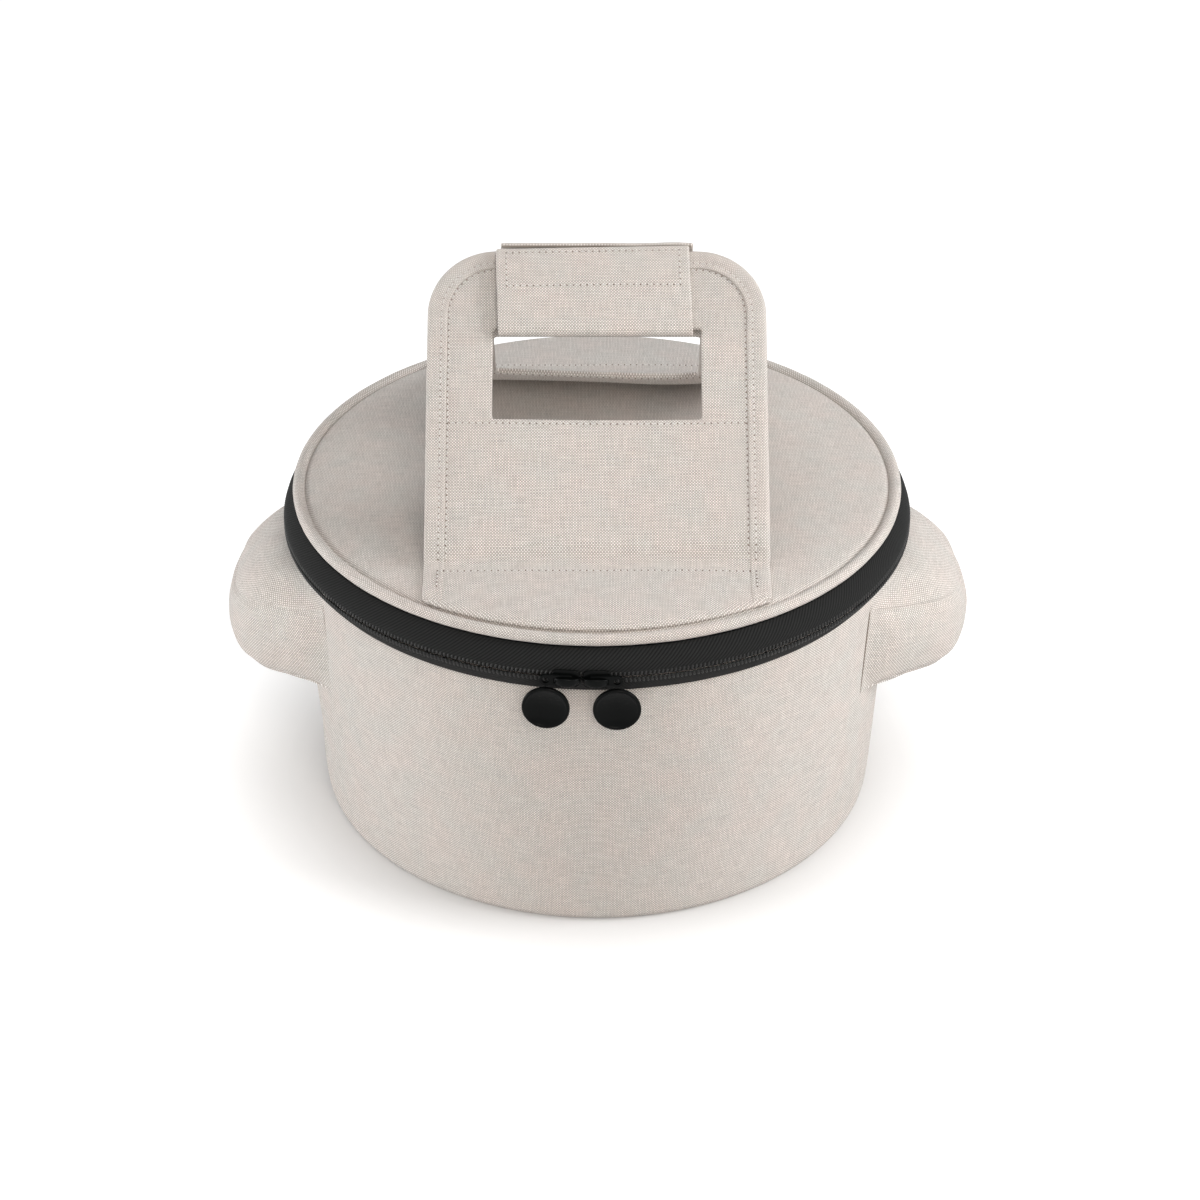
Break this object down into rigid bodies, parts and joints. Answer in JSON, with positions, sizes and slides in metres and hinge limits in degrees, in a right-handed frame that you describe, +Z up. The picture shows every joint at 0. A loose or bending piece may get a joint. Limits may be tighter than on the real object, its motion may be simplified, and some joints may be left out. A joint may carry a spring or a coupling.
{
  "type": "casserole carrier",
  "caption": "Round insulated fabric carrier for a casserole dish, with a zip-round padded lid, hollow side ears for the dish's handles, and carrying handles held by a wrap-round grip.",
  "frame": {"origin": "centre of the round base, on the surface that the carrier stands on", "axes": "+X to the right ear seen from the front, -Y to the front where the zip sliders meet, +Z up to the grip"},
  "size_m": [0.378, 0.3251, 0.2955],
  "materials": {
    "canvas": "ecru cotton canvas, basket weave",
    "canvas_trim": "ecru cotton canvas binding",
    "wadding": "soft insulating wadding",
    "lining": "wipe-clean coated lining",
    "zip_tape": "black woven zip tape",
    "zip_coil": "black nylon coil",
    "zip_metal": "gloss black painted zinc",
    "hook_and_loop": "hook and loop tape"
  },
  "bodies": {
    "body": {"base_panel": "canvas", "base_padding": "wadding", "base_lining": "lining", "body_wall": "canvas", "body_padding": "wadding", "body_lining": "lining", "rim_binding": "canvas_trim", "ear_left_top": "canvas", "ear_left_wall": "canvas", "ear_left_base": "canvas", "ear_left_padding": "wadding", "ear_left_lining": "lining", "ear_right_top": "canvas", "ear_right_wall": "canvas", "ear_right_base": "canvas", "ear_right_padding": "wadding", "ear_right_lining": "lining", "zip_tape_lower": "zip_tape", "zip_coil_lower": "zip_coil", "hinge_strip_lower": "canvas"},
    "lid": {"lid_top": "canvas", "lid_padding": "wadding", "lid_lining": "lining", "lid_piping": "canvas_trim", "zip_tape_upper": "zip_tape", "zip_coil_upper": "zip_coil", "hinge_strip_upper": "canvas", "front_anchor": "canvas", "rear_anchor": "canvas"},
    "slider_left": {"slider_left": "zip_metal"},
    "slider_right": {"slider_right": "zip_metal"},
    "pull_link_left": {"pull_link_left": "zip_metal"},
    "pull_link_right": {"pull_link_right": "zip_metal"},
    "pull_disc_left": {"pull_disc_left": "zip_metal"},
    "pull_disc_right": {"pull_disc_right": "zip_metal"},
    "front_handle": {"front_panel": "canvas", "front_binding": "canvas_trim", "loop_strip": "hook_and_loop"},
    "rear_handle": {"rear_panel": "canvas", "rear_binding": "canvas_trim", "grip_back": "canvas"},
    "grip_flap": {"grip_flap": "canvas", "hook_strip": "hook_and_loop"}
  },
  "joints": [
    {"name": "lid_hinge", "type": "hinge", "parent": "body", "child": "lid", "pos_m": [0, 0.1601, 0.1573], "axis": [-1, 0, 0], "range_deg": [0, 110]},
    {"name": "slider_left_travel", "type": "hinge", "parent": "body", "child": "slider_left", "pos_m": [0, 0, 0.1573], "axis": [0, 0, -1], "range_deg": [0, 52]},
    {"name": "slider_right_travel", "type": "hinge", "parent": "body", "child": "slider_right", "pos_m": [0, 0, 0.1573], "axis": [0, 0, 1], "range_deg": [0, 52]},
    {"name": "pull_link_left_swing", "type": "hinge", "parent": "slider_left", "child": "pull_link_left", "pos_m": [-0.0126, -0.16237, 0.1573], "axis": [0, 0, 1], "range_deg": [0, 100]},
    {"name": "pull_link_right_swing", "type": "hinge", "parent": "slider_right", "child": "pull_link_right", "pos_m": [-0.0023, -0.16284, 0.1573], "axis": [0, 0, -1], "range_deg": [0, 100]},
    {"name": "pull_disc_left_swing", "type": "hinge", "parent": "pull_link_left", "child": "pull_disc_left", "pos_m": [-0.02435, -0.16129, 0.155], "axis": [-0.9958, 0.0914, 0], "range_deg": [0, 90]},
    {"name": "pull_disc_right_swing", "type": "hinge", "parent": "pull_link_right", "child": "pull_disc_right", "pos_m": [0.0095, -0.16284, 0.155], "axis": [-1, 0, 0], "range_deg": [0, 90]},
    {"name": "front_handle_swing", "type": "hinge", "parent": "lid", "child": "front_handle", "pos_m": [0, -0.10275, 0.1791], "axis": [1, 0, 0], "range_deg": [0, 90]},
    {"name": "rear_handle_swing", "type": "hinge", "parent": "lid", "child": "rear_handle", "pos_m": [0, 0.10705, 0.1791], "axis": [-1, 0, 0], "range_deg": [0, 90]},
    {"name": "grip_flap_open", "type": "hinge", "parent": "rear_handle", "child": "grip_flap", "pos_m": [0, 0.01055, 0.2428], "axis": [1, 0, 0], "range_deg": [0, 144], "deforming": ["grip_flap", "hook_strip"]}
  ],
  "couplings": [
    {"joint": "rear_handle_swing", "follows": "front_handle_swing", "ratio": 1},
    {"joint": "grip_flap_open", "follows": "front_handle_swing", "ratio": 1.6}
  ]
}
